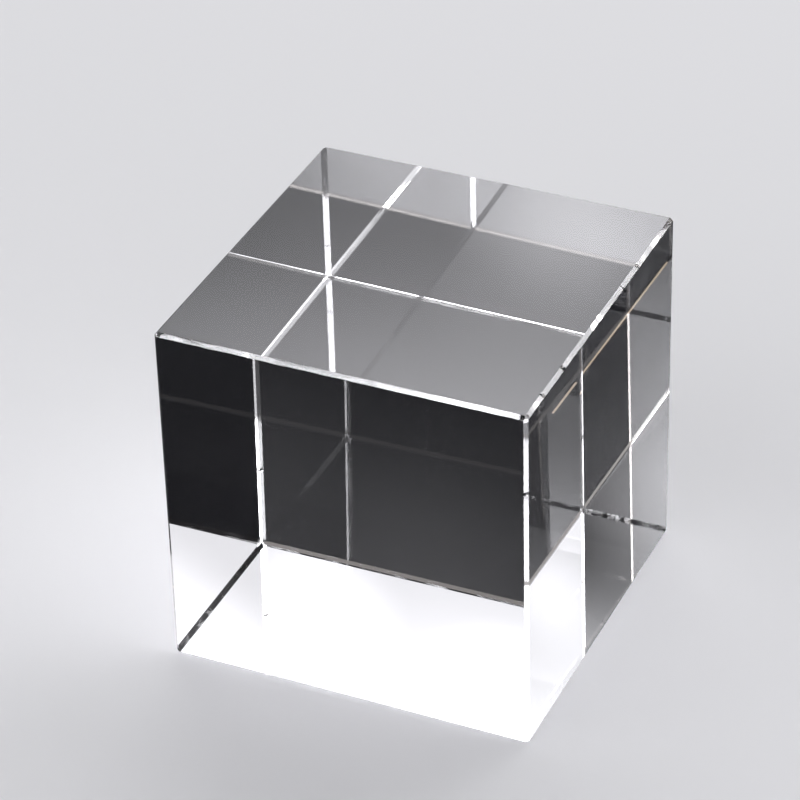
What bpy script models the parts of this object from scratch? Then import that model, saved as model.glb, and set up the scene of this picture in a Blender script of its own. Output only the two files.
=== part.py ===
"""Solid display cube: one block of clear optical glass with chamfered, polished edges.

The cube rests on its underside, centred on the Z axis, with the underside at Z = 0.
Units are metres and +Z is up.
"""

import bmesh
import bpy

# Driving dimensions
SIDE = 0.060
EDGE_CHAMFER = 0.00055

# Glass
GLASS_TINT = (0.965, 0.975, 0.972, 1.0)
GLASS_INDEX = 1.52
POLISH_ROUGHNESS = 0.0

# Worked out from the driving dimensions
HALF_SIDE = SIDE / 2


def clear_scene():
    """Remove every object, so that the build starts empty."""
    for old_object in list(bpy.data.objects):
        bpy.data.objects.remove(old_object)


def make_glass():
    """Clear polished optical glass."""
    glass = bpy.data.materials.new("clear_glass")
    glass.use_nodes = True
    shader = glass.node_tree.nodes["Principled BSDF"]
    shader.inputs["Base Color"].default_value = GLASS_TINT
    shader.inputs["Metallic"].default_value = 0.0
    shader.inputs["Roughness"].default_value = POLISH_ROUGHNESS
    shader.inputs["IOR"].default_value = GLASS_INDEX
    shader.inputs["Transmission Weight"].default_value = 1.0
    return glass


def make_display_block(glass):
    """The block itself: a solid cube with a flat chamfer along each of its twelve edges."""
    shape = bmesh.new()
    bmesh.ops.create_cube(shape, size=SIDE)
    bmesh.ops.bevel(
        shape,
        geom=list(shape.edges),
        offset=EDGE_CHAMFER,
        offset_type="OFFSET",
        segments=1,
        affect="EDGES",
    )
    bmesh.ops.recalc_face_normals(shape, faces=list(shape.faces))
    mesh = bpy.data.meshes.new("display_block")
    shape.to_mesh(mesh)
    shape.free()
    mesh.materials.append(glass)

    block = bpy.data.objects.new("display_block", mesh)
    block.location = (0.0, 0.0, HALF_SIDE)
    bpy.context.scene.collection.objects.link(block)
    return block


clear_scene()
make_display_block(make_glass())
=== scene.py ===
"""Looks of the solid display cube: a polished block of clear glass with narrow, polished chamfers.

The stage, the cards and the camera are placed in sides of the cube. Everything else is in metres,
and +Z is up. A clear block shows only what is around it, so it has a ring of lit cards and a dark
table top of its own, which only the glass sees.
"""

import itertools
import math
import random

import bmesh
import bpy
from mathutils import Matrix, Vector


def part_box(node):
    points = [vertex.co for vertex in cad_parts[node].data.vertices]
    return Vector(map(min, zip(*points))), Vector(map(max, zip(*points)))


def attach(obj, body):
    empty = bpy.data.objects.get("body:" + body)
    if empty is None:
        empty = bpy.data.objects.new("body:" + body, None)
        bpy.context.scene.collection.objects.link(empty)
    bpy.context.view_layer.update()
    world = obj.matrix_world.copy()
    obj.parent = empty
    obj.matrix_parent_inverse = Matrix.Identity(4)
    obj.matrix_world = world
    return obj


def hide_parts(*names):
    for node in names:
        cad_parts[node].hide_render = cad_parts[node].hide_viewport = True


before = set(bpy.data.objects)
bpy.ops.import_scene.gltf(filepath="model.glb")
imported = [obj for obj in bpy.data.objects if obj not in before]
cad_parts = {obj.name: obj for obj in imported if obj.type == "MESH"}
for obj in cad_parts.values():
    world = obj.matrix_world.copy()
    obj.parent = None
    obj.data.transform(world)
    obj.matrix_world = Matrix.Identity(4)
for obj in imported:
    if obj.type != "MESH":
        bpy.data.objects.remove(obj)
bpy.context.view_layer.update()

# The block, from the frame
LOW, HIGH = (Vector(corner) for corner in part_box("display_block"))
SIDE = HIGH.z - LOW.z
CHAMFER = SIDE * 0.0092
GLASS_INDEX = 1.525

# Chamfers: how closely their stations lie and where the points across them lie. In shares of their
# width: how round they are and how far the tip stands out where three of them meet
EDGE_STEP = SIDE / 90
PROFILE = (0.0, 0.12, 0.5, 0.88, 1.0)
CROWN = 0.002
CORNER_RISE = 0.12

# The wander of their outlines, also a share of their width, is a sum of waves: how many of each
# there are along an edge, their least and largest size, and how soon short waves become small
WANDER = 0.009
WANDER_CYCLES = (1, 2, 3, 5)
WAVE_SIZES = (0.3, 1.0)
WAVE_FALL = 0.35

# Chamfers that aren't at 45 degrees: the share that they take more of one face and less of the other
LEAN = {"top_front": 0.015}

# How soon an edge takes up its wander and its lean from its ends
WANDER_STEEPNESS = 12.0
LEAN_STEEPNESS = 50.0

# Chips: how many an edge may have, their least and largest radius, how rare the large ones are and
# how far they keep from the ends. The ones that stand out are listed, each as
# (share of the way along its edge, radius in sides, 0 or 1 for the face whose border it bites)
CHIP_COUNTS = (0, 0, 0, 1)
CHIP_SMALL = SIDE * 0.0014
CHIP_LARGE = SIDE * 0.0035
CHIP_RARITY = 2.5
CHIP_MARGIN = 0.04
PLAIN_CHIPS = {
    "top_right": ((0.236, 0.0072, 1), (0.10, 0.0024, 0), (0.64, 0.0030, 1)),
    "front_upright": ((0.78, 0.0042, 1),),
}

# Shares of a chip's radius: how far it bites into its face, how far it sinks into the chamfer, and
# how far its own stations reach
CHIP_BITE = 0.8
CHIP_SINK = 0.55
CHIP_REACH = 1.3

# How closely a chip's stations lie, how few it may have, and how close two stations may come
CHIP_STEP = SIDE / 1500
CHIP_LEAST_STEPS = 4
STATION_GAP = CHIP_STEP * 0.3

# The seed of the wander and of the chips that aren't listed
SEED = 17

# Points that round to the same place at this many to the metre are one vertex
POINTS_PER_METRE = 1e8

# An edge between faces that turn by more degrees than this is sharp
SHARP_ANGLE = 30

# The places of the block's three finishes in its list of materials
FACE, EDGE, BROKEN = range(3)

# Pairs of colours that are mixed: streaks in the melt; a chamfer from outside and from inside, where
# the warm inside is a painted colour fringe; and the grain of a break, near black as painted shade
MELT = ((0.984, 0.986, 0.990, 1.0), (0.995, 0.996, 0.999, 1.0))
PAINTED_FRINGE = ((0.995, 0.995, 0.998, 1.0), (1.0, 0.90, 0.81, 1.0))
PAINTED_SHADE_BREAK = ((0.010, 0.010, 0.012, 1.0), (0.05, 0.05, 0.055, 1.0))

# The part of a noise's values that is spread over a range
NOISE_SPAN = (0.35, 0.65)

# The stage, in sides, and the colour of its studio
FLOOR_HALF = 100.0
FLOOR_GAP = 0.002
DARK_TABLE = 2.2
DARK_TABLE_END = 3.2
STUDIO_PALE = (0.60, 0.60, 0.615, 1)

# The ring of cards round the block, in sides: how far off its walls stand and how high its roof is
RING_DEPTH = 3.0
RING_WIDTH = 3.2
RING_TOP = 6.2

# Where its large cards meet: the foot and the head of the back light, where the skirt below it ends,
# the head and the half width of the front card, and the foot of the side cards
BACK_FOOT = 2.05
BACK_HEAD = 4.4
SKIRT_END = 0.35
FRONT_HEAD = 3.6
FRONT_HALF = 2.2
SIDE_FOOT = 1.15

# Each wall, as the axis that it stands across and its place on that axis. The two glints lie level,
# one on the table and one over it
BACK = ("y", RING_DEPTH)
FRONT = ("y", -RING_DEPTH)
LEFT = ("x", -RING_WIDTH)
RIGHT = ("x", RING_WIDTH)
ROOF = ("z", RING_TOP)
GLINT_LOW = ("z", 0.001)
GLINT_HIGH = ("z", 0.351)

# How far a small card stands in front of its wall, the glow of a dark card and the cards' colours
IN_FRONT = 0.05
DARK = 0.02
CARD_TINT = (0.965, 0.96, 1.0, 1.0)
WARM_TINT = (1.0, 0.80, 0.60, 1.0)

# Camera: angles in degrees, distances in sides, lens and sensor in millimetres, a square picture
CAMERA_AZIMUTH = 24.9
CAMERA_HEIGHT = 33.9
CAMERA_ROLL = -1.6
CAMERA_DISTANCE = 9.6
AIM_RIGHT = -0.06
AIM_UP = 0.095
LENS = 166.0
SENSOR = 36.0
NEAREST = 0.1

# How often light may bounce
BOUNCES = 24


# ---------------------------------------------------------------- materials


def new_material(name):
    """A node material, with its tree and its shader."""
    material = bpy.data.materials.new(name)
    material.use_nodes = True
    return material, material.node_tree, material.node_tree.nodes["Principled BSDF"]


def set_glass(shader):
    """Makes a shader clear, smooth glass."""
    shader.inputs["IOR"].default_value = GLASS_INDEX
    shader.inputs["Transmission Weight"].default_value = 1.0
    shader.inputs["Roughness"].default_value = 0.0


def noise_range(tree, scale, detail, low, high):
    """A noise, in object space, spread over low to high."""
    coordinate = tree.nodes.new("ShaderNodeTexCoord")
    noise = tree.nodes.new("ShaderNodeTexNoise")
    noise.inputs["Scale"].default_value = scale
    noise.inputs["Detail"].default_value = detail
    spread = tree.nodes.new("ShaderNodeMapRange")
    spread.inputs["From Min"].default_value = NOISE_SPAN[0]
    spread.inputs["From Max"].default_value = NOISE_SPAN[1]
    spread.inputs["To Min"].default_value = low
    spread.inputs["To Max"].default_value = high
    tree.links.new(coordinate.outputs["Object"], noise.inputs["Vector"])
    tree.links.new(noise.outputs["Fac"], spread.inputs["Value"])
    return spread.outputs["Result"]


def blend(tree, share, colours, target):
    """Feeds target with a mix of two colours, by share."""
    mix = tree.nodes.new("ShaderNodeMix")
    mix.data_type = "RGBA"
    sockets = [socket for socket in mix.inputs if socket.type == "RGBA"]
    for socket, colour in zip(sockets, colours):
        socket.default_value = colour
    tree.links.new(share, mix.inputs[0])
    tree.links.new([socket for socket in mix.outputs if socket.type == "RGBA"][0], target)


def polished_glass():
    """The six faces: optically clear, with faint, slow streaks in the melt."""
    material, tree, shader = new_material("clear_glass")
    set_glass(shader)
    streaks = noise_range(tree, scale=30.0, detail=2.0, low=0.0, high=1.0)
    blend(tree, streaks, MELT, shader.inputs["Base Color"])
    return material


def edge_glass():
    """The chamfers: unevenly polished. Seen from inside the block they are tinted warm: a painted
    colour fringe for the light that their edges split.
    """
    material, tree, shader = new_material("polished_edge")
    set_glass(shader)
    polish = noise_range(tree, scale=260.0, detail=3.0, low=0.01, high=0.10)
    tree.links.new(polish, shader.inputs["Roughness"])
    # Painted colour fringe: a chamfer that is hit from inside the block is tinted warm
    inside = tree.nodes.new("ShaderNodeNewGeometry").outputs["Backfacing"]
    blend(tree, inside, PAINTED_FRINGE, shader.inputs["Base Color"])
    return material


def broken_glass():
    """The chips: a rough break, which lets no picture through. Its near-black colour is painted shade,
    the dark that a chip shows beside the polish, with a faint random grain.
    """
    material, tree, shader = new_material("broken_edge")
    shader.inputs["Roughness"].default_value = 0.8
    shader.inputs["Specular IOR Level"].default_value = 0.0
    # Painted shade: the break is coloured near black, with a faint random grain
    grain = noise_range(tree, scale=4000.0, detail=2.0, low=0.0, high=1.0)
    blend(tree, grain, PAINTED_SHADE_BREAK, shader.inputs["Base Color"])
    return material


# ---------------------------------------------------------------- the block


def ease(share, steepness):
    """0 at the ends of an edge, where the chamfers meet, and 1 along the rest of it."""
    return min(1.0, steepness * min(share, 1.0 - share))


def smooth_wander(draw, length):
    """A slow random wave along an edge that is 0 at both ends, in -1 to 1."""
    waves = []
    for cycles in WANDER_CYCLES:
        size = draw.uniform(*WAVE_SIZES) / cycles ** WAVE_FALL
        waves.append((cycles, size, draw.uniform(0, math.tau)))
    total = sum(size for _, size, _ in waves)

    def value(along):
        share = along / length
        wave = sum(size * math.sin(math.tau * cycles * share + phase) for cycles, size, phase in waves)
        return ease(share, WANDER_STEEPNESS) * wave / total

    return value


def draw_chips(draw, length, plain):
    """Chips on one edge: (place along it, radius, 0 or 1 for the face whose border it bites)."""
    chips = [(share * length, radius * SIDE, face) for share, radius, face in plain]
    for _ in range(draw.choice(CHIP_COUNTS)):
        radius = CHIP_SMALL + (CHIP_LARGE - CHIP_SMALL) * draw.random() ** CHIP_RARITY
        place = draw.uniform(CHIP_MARGIN, 1 - CHIP_MARGIN) * length
        chips.append((place, radius, draw.choice((0, 1))))
    return chips


def edge_name(outward):
    """The name of an edge that has chips or a lean of its own, from the way that it faces."""
    if outward.x > 0 and outward.z > 0:
        return "top_right"
    if outward.x > 0 and outward.y < 0:
        return "front_upright"
    if outward.y < 0 and outward.z > 0:
        return "top_front"
    return ""


def stations(length, chips):
    """Places along an edge: evenly spread, and close together across each chip."""
    places = {0.0, length}
    count = round(length / EDGE_STEP)
    for step in range(1, count):
        places.add(length * step / count)
    for centre, radius, _ in chips:
        steps = max(CHIP_LEAST_STEPS, round(2 * CHIP_REACH * radius / CHIP_STEP))
        for step in range(steps + 1):
            places.add(centre + radius * CHIP_REACH * (2 * step / steps - 1))
    kept = []
    for place in sorted(places):
        if 0.0 <= place <= length and (not kept or place - kept[-1] > STATION_GAP):
            kept.append(place)
    kept[-1] = length
    return kept


def bites_at(place, chips):
    """How deep the chips bite the two borders of an edge at a place along it."""
    bite = [0.0, 0.0]
    for centre, radius, face in chips:
        offset = abs(place - centre) / radius
        if offset < 1.0:
            bite[face] = max(bite[face], radius * math.sqrt(1.0 - offset * offset))
    return bite


def edge_strip(draw, start, along, length, normal_a, normal_b):
    """Rows of points across one chamfer, from face a to face b, and how deep chips bite each row."""
    outward = (normal_a + normal_b).normalized()
    name = edge_name(outward)
    wander = [smooth_wander(draw, length), smooth_wander(draw, length)]
    chips = draw_chips(draw, length, PLAIN_CHIPS.get(name, ()))
    full_lean = LEAN.get(name, 0.0)
    rows = []
    bites = []
    for place in stations(length, chips):
        bite = bites_at(place, chips)
        lean = full_lean * ease(place / length, LEAN_STEEPNESS)
        inset_a = CHAMFER * (1 + lean + WANDER * wander[0](place)) + CHIP_BITE * bite[0]
        inset_b = CHAMFER * (1 - lean + WANDER * wander[1](place)) + CHIP_BITE * bite[1]
        edge = start + along * place
        row = []
        for share in PROFILE:
            # 0 at both borders and 1 halfway between them
            hump = 4 * share * (1 - share)
            bulge = CROWN * CHAMFER * hump
            sink = CHIP_SINK * (bite[0] * (1 - share) + bite[1] * share) * hump
            point = edge - normal_b * inset_a * (1 - share) - normal_a * inset_b * share
            row.append(point + outward * (bulge - sink))
        rows.append(row)
        bites.append(bite)
    return rows, bites


def chain(lines):
    """Joins lines of vertices that share their ends into one closed loop."""
    lines = list(lines)
    loop = list(lines.pop(0))
    while lines:
        for line in lines:
            if line[0] is loop[-1]:
                loop.extend(line[1:])
                break
            if line[-1] is loop[-1]:
                loop.extend(list(reversed(line))[1:])
                break
        lines.remove(line)
    return loop[:-1] if loop[0] is loop[-1] else loop


def add_quads(shape, grid, bites):
    """Fills a chamfer's grid of vertices. A quad that a chip bites is rough."""
    columns = len(PROFILE) - 1
    for index in range(len(grid) - 1):
        for column in range(columns):
            corners = (
                grid[index][column],
                grid[index + 1][column],
                grid[index + 1][column + 1],
                grid[index][column + 1],
            )
            quad = shape.faces.new(corners)
            quad.smooth = True
            border = 0 if column < columns / 2 else 1
            bitten = bites[index][border] + bites[index + 1][border] > 0
            quad.material_index = BROKEN if bitten else EDGE


def add_faces(shape, borders):
    """Closes the six flat faces, each inside the borders of its four chamfers."""
    for (axis, sign), lines in borders.items():
        outline = chain(lines)
        for corner in outline:
            corner.co[axis] = HIGH[axis] if sign > 0 else LOW[axis]
        shape.faces.new(outline).material_index = FACE


def add_corners(shape, ends):
    """Closes the eight corners, each between the ends of its three chamfers."""
    for signs, rows in ends.items():
        ring = chain(rows)
        middle = sum((corner.co for corner in ring), Vector()) / len(ring)
        tip = shape.verts.new(middle + Vector(signs).normalized() * CHAMFER * CORNER_RISE)
        for index in range(len(ring)):
            facet = shape.faces.new((ring[index - 1], ring[index], tip))
            facet.material_index = EDGE
            facet.smooth = True


def build_block():
    """The block's shape: 12 chamfers, and the faces and corners that close it between them."""
    draw = random.Random(SEED)
    centre = (LOW + HIGH) / 2
    half = SIDE / 2
    length = SIDE - 2 * CHAMFER
    axes = (Vector((1, 0, 0)), Vector((0, 1, 0)), Vector((0, 0, 1)))
    shape = bmesh.new()
    known = {}

    def vertex(point):
        key = tuple(round(value * POINTS_PER_METRE) for value in point)
        if key not in known:
            known[key] = shape.verts.new(point)
        return known[key]

    borders = {}
    ends = {}
    for axis, sign_a, sign_b in itertools.product(range(3), (1, -1), (1, -1)):
        face_a = ((axis + 1) % 3, sign_a)
        face_b = ((axis + 2) % 3, sign_b)
        normal_a = axes[face_a[0]] * sign_a
        normal_b = axes[face_b[0]] * sign_b
        start = centre + (normal_a + normal_b) * half - axes[axis] * (half - CHAMFER)
        rows, bites = edge_strip(draw, start, axes[axis], length, normal_a, normal_b)
        grid = [[vertex(point) for point in row] for row in rows]
        add_quads(shape, grid, bites)
        borders.setdefault(face_a, []).append([row[0] for row in grid])
        borders.setdefault(face_b, []).append([row[-1] for row in grid])
        for end, row in ((-1, grid[0]), (1, grid[-1])):
            signs = {axis: end, face_a[0]: sign_a, face_b[0]: sign_b}
            ends.setdefault(tuple(signs[key] for key in range(3)), []).append(row)
    add_faces(shape, borders)
    add_corners(shape, ends)
    bmesh.ops.recalc_face_normals(shape, faces=list(shape.faces))
    return shape


def make_block():
    """The block as one piece, which replaces the CAD node."""
    shape = build_block()
    mesh = bpy.data.meshes.new("glass_cube")
    shape.to_mesh(mesh)
    shape.free()
    for finish in (polished_glass(), edge_glass(), broken_glass()):
        mesh.materials.append(finish)
    mesh.set_sharp_from_angle(angle=math.radians(SHARP_ANGLE))

    # The six faces, which have the long outlines, stay flat
    for polygon in mesh.polygons:
        if len(polygon.vertices) > 4:
            polygon.use_smooth = False
    block = bpy.data.objects.new("glass_cube", mesh)
    bpy.context.scene.collection.objects.link(block)
    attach(block, "root")
    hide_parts("display_block")


# ---------------------------------------------------------------- the stage


def seen_through_glass(tree):
    """1 for a ray that the glass or a gloss sent on, 0 for the camera's own and for diffuse light."""
    path = tree.nodes.new("ShaderNodeLightPath")
    either = tree.nodes.new("ShaderNodeMath")
    either.operation = "MAXIMUM"
    tree.links.new(path.outputs["Is Transmission Ray"], either.inputs[0])
    tree.links.new(path.outputs["Is Glossy Ray"], either.inputs[1])
    return either.outputs[0]


def near_block(tree):
    """1 on the floor near the block, falling to 0 further out."""
    coordinate = tree.nodes.new("ShaderNodeTexCoord")
    reach = tree.nodes.new("ShaderNodeVectorMath")
    reach.operation = "LENGTH"
    edge = tree.nodes.new("ShaderNodeMapRange")
    edge.interpolation_type = "SMOOTHSTEP"
    edge.inputs["From Min"].default_value = DARK_TABLE * SIDE
    edge.inputs["From Max"].default_value = DARK_TABLE_END * SIDE
    edge.inputs["To Min"].default_value = 1.0
    edge.inputs["To Max"].default_value = 0.0
    tree.links.new(coordinate.outputs["Object"], reach.inputs[0])
    tree.links.new(reach.outputs["Value"], edge.inputs["Value"])
    return edge.outputs["Result"]


def floor_material():
    """Pale and matt. Near the block, the glass sees a dark, glossy table top in its place."""
    material, tree, pale = new_material("floor")
    pale.inputs["Base Color"].default_value = (0.74, 0.74, 0.755, 1)
    pale.inputs["Roughness"].default_value = 0.3
    pale.inputs["Specular IOR Level"].default_value = 0.0
    dark = tree.nodes.new("ShaderNodeBsdfPrincipled")
    dark.inputs["Base Color"].default_value = (0.011, 0.011, 0.013, 1)
    dark.inputs["Roughness"].default_value = 0.0
    both = tree.nodes.new("ShaderNodeMath")
    both.operation = "MULTIPLY"
    mix = tree.nodes.new("ShaderNodeMixShader")
    tree.links.new(near_block(tree), both.inputs[0])
    tree.links.new(seen_through_glass(tree), both.inputs[1])
    tree.links.new(both.outputs[0], mix.inputs[0])
    tree.links.new(pale.outputs[0], mix.inputs[1])
    tree.links.new(dark.outputs[0], mix.inputs[2])
    tree.links.new(mix.outputs[0], tree.nodes["Material Output"].inputs[0])
    return material


def make_floor():
    """A plain floor just under the block."""
    half = FLOOR_HALF * SIDE
    height = LOW.z - FLOOR_GAP * SIDE
    flat = [(-half, -half), (half, -half), (half, half), (-half, half)]
    mesh = bpy.data.meshes.new("floor")
    mesh.from_pydata([(x, y, height) for x, y in flat], [], [(0, 1, 2, 3)])
    mesh.materials.append(floor_material())
    floor = bpy.data.objects.new("floor", mesh)
    bpy.context.scene.collection.objects.link(floor)


def make_world():
    """The plain, pale studio round the block."""
    world = bpy.data.worlds.new("studio")
    bpy.context.scene.world = world
    world.use_nodes = True
    world.node_tree.nodes["Background"].inputs["Color"].default_value = STUDIO_PALE


def direction(azimuth, height):
    """The way from the block to something at an azimuth, from the front, and a height, in degrees."""
    turn = math.radians(azimuth)
    rise = math.radians(height)
    return Vector((math.sin(turn) * math.cos(rise), -math.cos(turn) * math.cos(rise), math.sin(rise)))


def lamp(name, azimuth, height, distance, width, depth, brightness):
    """A soft lamp for the floor, sized in sides. The glass doesn't see it: it sees the cards."""
    light = bpy.data.lights.new(name, "AREA")
    light.shape = "RECTANGLE"
    light.size = width * SIDE
    light.size_y = depth * SIDE
    light.energy = brightness * math.pi * light.size * light.size_y
    out = direction(azimuth, height)
    holder = bpy.data.objects.new(name, light)
    holder.location = (LOW + HIGH) / 2 + out * distance * SIDE
    holder.rotation_euler = out.to_track_quat("Z", "Y").to_euler()
    bpy.context.scene.collection.objects.link(holder)
    holder.visible_camera = False
    holder.visible_glossy = False
    holder.visible_transmission = False


def on_wall(axis, place, spot):
    """The point of a wall, or of the roof, that is spot[0] along it and spot[1] up or back."""
    if axis == "x":
        return Vector((place, spot[0], spot[1]))
    if axis == "y":
        return Vector((spot[0], place, spot[1]))
    return Vector((spot[0], spot[1], place))


def fall_off(tree, wall, up, glow, rim, centre, inner, reach):
    """A glow that turns to rim: from inner to reach round centre, or from a card's foot to its head."""
    coordinate = tree.nodes.new("ShaderNodeTexCoord")
    fall = tree.nodes.new("ShaderNodeMapRange")
    fall.interpolation_type = "SMOOTHSTEP"
    if centre is None:
        where = tree.nodes.new("ShaderNodeSeparateXYZ")
        measure = where.outputs["Z"]
        start, end = up
    else:
        where = tree.nodes.new("ShaderNodeVectorMath")
        where.operation = "DISTANCE"
        where.inputs[1].default_value = on_wall(*wall, centre) * SIDE
        measure = where.outputs["Value"]
        start, end = inner, reach
    tree.links.new(coordinate.outputs["Object"], where.inputs[0])
    tree.links.new(measure, fall.inputs["Value"])
    fall.inputs["From Min"].default_value = start * SIDE
    fall.inputs["From Max"].default_value = end * SIDE
    fall.inputs["To Min"].default_value = glow
    fall.inputs["To Max"].default_value = rim
    return fall.outputs["Result"]


def card_material(name, tint, glow, sheer):
    """Even light of one colour, with its tree and the socket for its strength."""
    material = bpy.data.materials.new(name)
    material.use_nodes = True
    tree = material.node_tree
    tree.nodes.clear()
    light = tree.nodes.new("ShaderNodeEmission")
    light.inputs["Color"].default_value = tint
    light.inputs["Strength"].default_value = glow
    output = tree.nodes.new("ShaderNodeOutputMaterial")
    shader = light
    if sheer:
        clear = tree.nodes.new("ShaderNodeBsdfTransparent")
        shader = tree.nodes.new("ShaderNodeAddShader")
        tree.links.new(light.outputs[0], shader.inputs[0])
        tree.links.new(clear.outputs[0], shader.inputs[1])
    tree.links.new(shader.outputs[0], output.inputs[0])
    return material, tree, light.inputs["Strength"]


def wall_card(name, wall, across, up, glow, rim=None, centre=None, inner=0.0, reach=1.0,
              nearer=0.0, sheer=False, mirrored=True, tint=CARD_TINT):
    """A lit card on a wall of the ring, seen only in the glass. Its measures are in sides.

    A sheer card adds its light to what is behind it. The table shows a card only if it is mirrored.
    """
    axis, place = wall
    wall = (axis, place - math.copysign(nearer, place))
    flat = [(across[0], up[0]), (across[1], up[0]), (across[1], up[1]), (across[0], up[1])]
    mesh = bpy.data.meshes.new(name)
    mesh.from_pydata([on_wall(*wall, corner) * SIDE for corner in flat], [], [(0, 1, 2, 3)])
    material, tree, strength = card_material(name, tint, glow, sheer)
    if rim is not None:
        tree.links.new(fall_off(tree, wall, up, glow, rim, centre, inner, reach), strength)
    mesh.materials.append(material)
    board = bpy.data.objects.new(name, mesh)
    bpy.context.scene.collection.objects.link(board)
    board.visible_camera = False
    board.visible_diffuse = False
    board.visible_glossy = mirrored
    board.visible_shadow = False


def make_back_cards():
    """The main light: it fills the top face, the white band at the foot and the bright bevels."""
    whole = (-RING_WIDTH, RING_WIDTH)
    wall_card("back_card", BACK, across=whole, up=(BACK_FOOT, BACK_HEAD), glow=5.5,
              rim=0.92, centre=(-0.5, 4.8), reach=3.0)

    # Soft pools of light on it, each for one part of the faces
    wall_card("back_heart", BACK, across=(-1.4, -0.2), up=(BACK_FOOT, 3.3), glow=2.0,
              rim=0.0, centre=(-0.77, 2.62), reach=0.55, nearer=0.04, sheer=True)
    wall_card("back_right", BACK, across=(0.5, 2.09), up=(BACK_FOOT, 3.8), glow=1.4,
              rim=0.0, centre=(1.4, 2.86), reach=0.88, nearer=0.02, sheer=True)
    wall_card("back_left", BACK, across=(-2.0, -1.2), up=(2.01, 2.75), glow=0.6,
              rim=0.0, centre=(-1.58, 2.25), reach=0.42, nearer=0.06, sheer=True)

    # Above it the wall is dim
    wall_card("back_top", BACK, across=whole, up=(BACK_HEAD, RING_TOP), glow=0.25)

    # Below it, on the left, a skirt darkens towards its foot and has a small bright hem at its head
    wall_card("back_skirt", BACK, across=(-RING_WIDTH, SKIRT_END), up=(0.95, BACK_FOOT), glow=DARK,
              rim=0.54)
    wall_card("back_hem", BACK, across=(-1.66, -1.44), up=(1.9, BACK_FOOT), glow=1.3,
              nearer=0.02, mirrored=False)

    # On the right the wall is dark below it
    wall_card("back_flag", BACK, across=(SKIRT_END, RING_WIDTH), up=(0.0, BACK_FOOT), glow=DARK)

    # Strips for single bevels, which stand in front of it
    wall_card("back_strip", BACK, across=(2.12, 3.15), up=(1.86, 2.6), glow=10.0, nearer=IN_FRONT)
    wall_card("back_foot", BACK, across=(2.45, 3.15), up=(1.7, 1.86), glow=0.8, nearer=IN_FRONT)


def make_front_cards():
    """Mostly dark, so that the front face stays dark."""
    middle = (-FRONT_HALF, FRONT_HALF)

    # A soft glow on the left, another along the head, and a dark wall above them
    wall_card("front_card", FRONT, across=middle, up=(1.4, FRONT_HEAD), glow=0.6,
              rim=0.0, centre=(-1.37, 2.6), reach=0.8)
    wall_card("front_top", FRONT, across=middle, up=(2.8, FRONT_HEAD), glow=0.0,
              rim=0.72, nearer=0.02, sheer=True)
    wall_card("front_flag", FRONT, across=(-RING_WIDTH, RING_WIDTH), up=(FRONT_HEAD, RING_TOP),
              glow=DARK)

    # Small bright cards for single lines
    wall_card("front_spot", FRONT, across=(1.60, 1.735), up=(2.12, 2.88), glow=1.5,
              rim=0.45, centre=(1.7, 3.0), reach=0.75, nearer=IN_FRONT)
    wall_card("front_key", FRONT, across=(-2.5, -0.9), up=(3.75, 4.23), glow=18.0, nearer=IN_FRONT)
    wall_card("front_fill", FRONT, across=(1.0, 2.1), up=(3.85, 4.40), glow=8.0,
              rim=1.5, centre=(1.2, 4.15), inner=0.25, reach=0.65, nearer=IN_FRONT)
    wall_card("front_low", FRONT, across=(2.15, 3.15), up=(1.3, 2.1), glow=1.5,
              rim=0.6, centre=(2.9, 1.95), reach=0.9, nearer=IN_FRONT)


def make_side_cards():
    """The side walls. The left one is dimmer and has a dark patch near its front."""
    whole = (-RING_DEPTH, RING_DEPTH)
    wall_card("left_card", LEFT, across=whole, up=(SIDE_FOOT, RING_TOP), glow=2.6,
              rim=1.6, centre=(0, 2.5), reach=3.0)
    wall_card("left_flag", LEFT, across=(-2.6, -1.2), up=(2.9, 3.8), glow=0.2, nearer=IN_FRONT)
    wall_card("right_card", RIGHT, across=whole, up=(SIDE_FOOT, RING_TOP), glow=8.0,
              rim=2.0, centre=(-0.2, 2.8), inner=1.3, reach=2.6)


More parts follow.
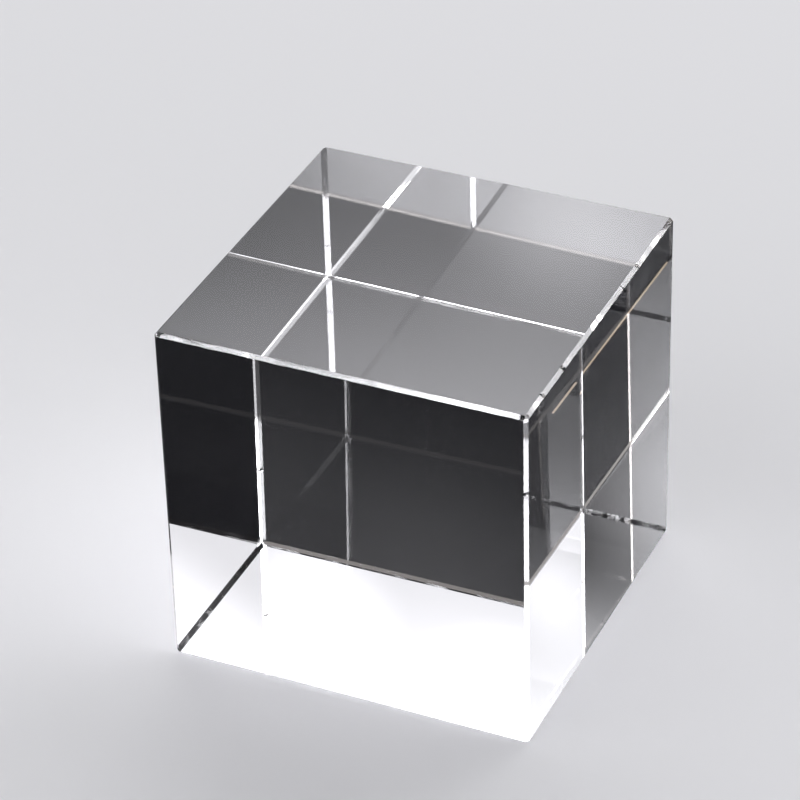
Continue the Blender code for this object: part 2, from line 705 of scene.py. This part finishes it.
def make_glints():
    """Warm strips, thin as a hair, beside the left face. They show as fine lines in the right face."""
    wall_card("glint_low", GLINT_LOW, across=(-0.7478, -0.7422), up=(-0.80, -0.13), glow=0.7,
              sheer=True, tint=WARM_TINT)
    wall_card("glint_high", GLINT_HIGH, across=(-0.5528, -0.5472), up=(0.43, 0.594), glow=0.7,
              sheer=True, tint=WARM_TINT)


def make_cards():
    """A ring of cards round the block, under a lit roof."""
    make_back_cards()
    make_front_cards()
    make_side_cards()
    make_glints()
    whole = (-RING_WIDTH, RING_WIDTH)
    wall_card("roof_card", ROOF, across=whole, up=(-RING_DEPTH, RING_DEPTH), glow=3.0)


def make_lamps():
    """Two large, soft lamps for the floor."""
    lamp("back_lamp", azimuth=180, height=50, distance=20, width=26, depth=14, brightness=1.6)
    lamp("front_lamp", azimuth=-30, height=45, distance=25, width=20, depth=14, brightness=0.8)


def make_camera():
    """A long lens that looks down on the block from the front right."""
    back = direction(CAMERA_AZIMUTH, CAMERA_HEIGHT)
    right = Vector((0, 0, 1)).cross(back).normalized()
    up = back.cross(right)
    roll = math.radians(CAMERA_ROLL)
    rolled_right = math.cos(roll) * right + math.sin(roll) * up
    rolled_up = math.cos(roll) * up - math.sin(roll) * right
    centre = (LOW + HIGH) / 2
    place = centre + (back * CAMERA_DISTANCE + rolled_right * AIM_RIGHT + rolled_up * AIM_UP) * SIDE
    settings = bpy.data.cameras.new("camera")
    settings.sensor_width = SENSOR
    settings.lens = LENS
    settings.clip_start = SIDE * NEAREST
    camera = bpy.data.objects.new("camera", settings)
    bpy.context.scene.collection.objects.link(camera)
    placed = Matrix((rolled_right, rolled_up, back)).transposed().to_4x4()
    placed.translation = place
    camera.matrix_world = placed
    bpy.context.scene.camera = camera


def set_light_paths():
    """Enough bounces for light that is trapped inside the block, and plain tones."""
    scene = bpy.context.scene
    scene.view_settings.view_transform = "Standard"
    scene.cycles.max_bounces = BOUNCES
    scene.cycles.transmission_bounces = BOUNCES
    scene.cycles.glossy_bounces = BOUNCES


make_camera()
make_block()
make_floor()
make_world()
make_cards()
make_lamps()
set_light_paths()
